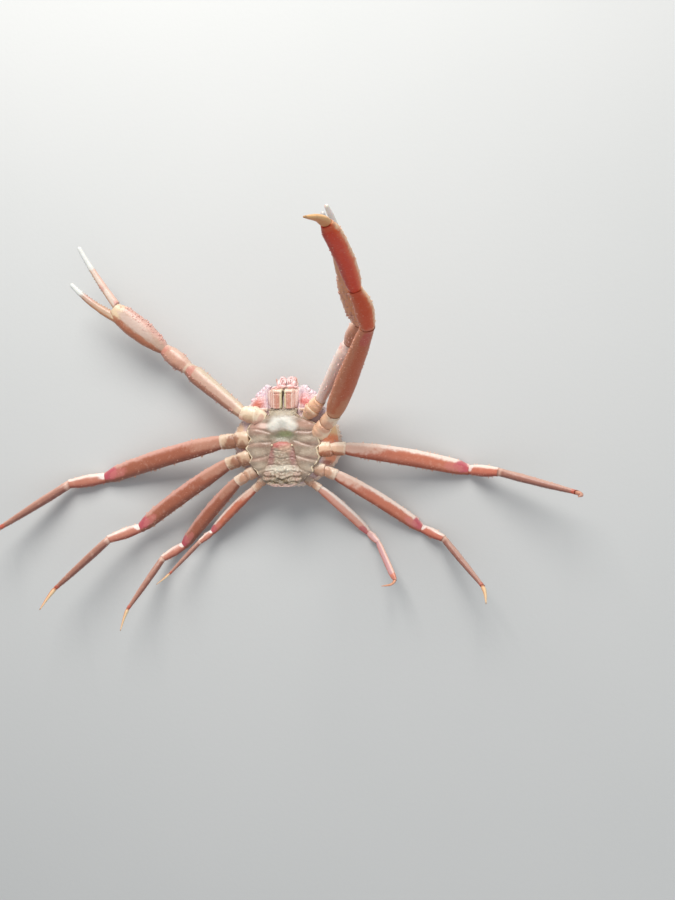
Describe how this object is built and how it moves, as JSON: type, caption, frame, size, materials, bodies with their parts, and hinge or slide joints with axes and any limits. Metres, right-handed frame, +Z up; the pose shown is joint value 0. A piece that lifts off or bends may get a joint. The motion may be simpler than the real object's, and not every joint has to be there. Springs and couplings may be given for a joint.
{
  "type": "snow crab",
  "caption": "Life-size snow crab as a still museum model, lying on its back with its legs spread, the right claw held low and the left claw raised behind the first leg.",
  "frame": {"origin": "centre of the flat on the back of the carapace, on the midline, at floor level", "axes": "+Z up, out of the underside; +Y towards the head end; +X to the crab's own left, the longest extent"},
  "size_m": [0.6687, 0.4317, 0.3672],
  "materials": {
    "back_shell": "semi-gloss shell",
    "under_shell": "satin cream shell",
    "mouthparts": "satin pink and cream shell",
    "limb_base": "satin cream shell with orange stains",
    "claw_tan": "satin salmon shell with white finger tips",
    "claw_pale": "satin cream pink shell with white finger tips",
    "leg_tip": "satin pale orange",
    "leg_shell": "satin salmon to terracotta shell",
    "eye": "glossy dark"
  },
  "bodies": {
    "root": {"carapace": "back_shell", "sternum": "under_shell", "abdomen": "under_shell", "maxilliped_left": "mouthparts", "maxilliped_right": "mouthparts", "eye_left": "eye", "eye_right": "eye", "antenna_left": "mouthparts", "antenna_right": "mouthparts", "claw_left_base": "limb_base", "claw_left_merus": "claw_tan", "claw_left_carpus": "claw_tan", "claw_left_palm": "claw_tan", "claw_left_finger": "claw_tan", "leg_2_left_base": "limb_base", "leg_2_left_merus": "leg_shell", "leg_2_left_carpus": "leg_shell", "leg_2_left_propodus": "leg_shell", "leg_2_left_dactyl": "leg_tip", "leg_3_left_base": "limb_base", "leg_3_left_merus": "leg_shell", "leg_3_left_carpus": "leg_shell", "leg_3_left_propodus": "leg_shell", "leg_3_left_dactyl": "leg_tip", "leg_4_left_base": "limb_base", "leg_4_left_merus": "leg_shell", "leg_4_left_carpus": "leg_shell", "leg_4_left_propodus": "leg_shell", "leg_4_left_dactyl": "leg_tip", "leg_5_left_base": "limb_base", "leg_5_left_merus": "leg_shell", "leg_5_left_carpus": "leg_shell", "leg_5_left_propodus": "leg_shell", "leg_5_left_dactyl": "leg_tip", "claw_right_base": "limb_base", "claw_right_merus": "claw_pale", "claw_right_carpus": "claw_pale", "claw_right_palm": "claw_pale", "claw_right_finger": "claw_pale", "leg_2_right_base": "limb_base", "leg_2_right_merus": "leg_shell", "leg_2_right_carpus": "leg_shell", "leg_2_right_propodus": "leg_shell", "leg_2_right_dactyl": "leg_tip", "leg_3_right_base": "limb_base", "leg_3_right_merus": "leg_shell", "leg_3_right_carpus": "leg_shell", "leg_3_right_propodus": "leg_shell", "leg_3_right_dactyl": "leg_tip", "leg_4_right_base": "limb_base", "leg_4_right_merus": "leg_shell", "leg_4_right_carpus": "leg_shell", "leg_4_right_propodus": "leg_shell", "leg_4_right_dactyl": "leg_tip", "leg_5_right_base": "limb_base", "leg_5_right_merus": "leg_shell", "leg_5_right_carpus": "leg_shell", "leg_5_right_propodus": "leg_shell", "leg_5_right_dactyl": "leg_tip"}
  },
  "joints": []
}
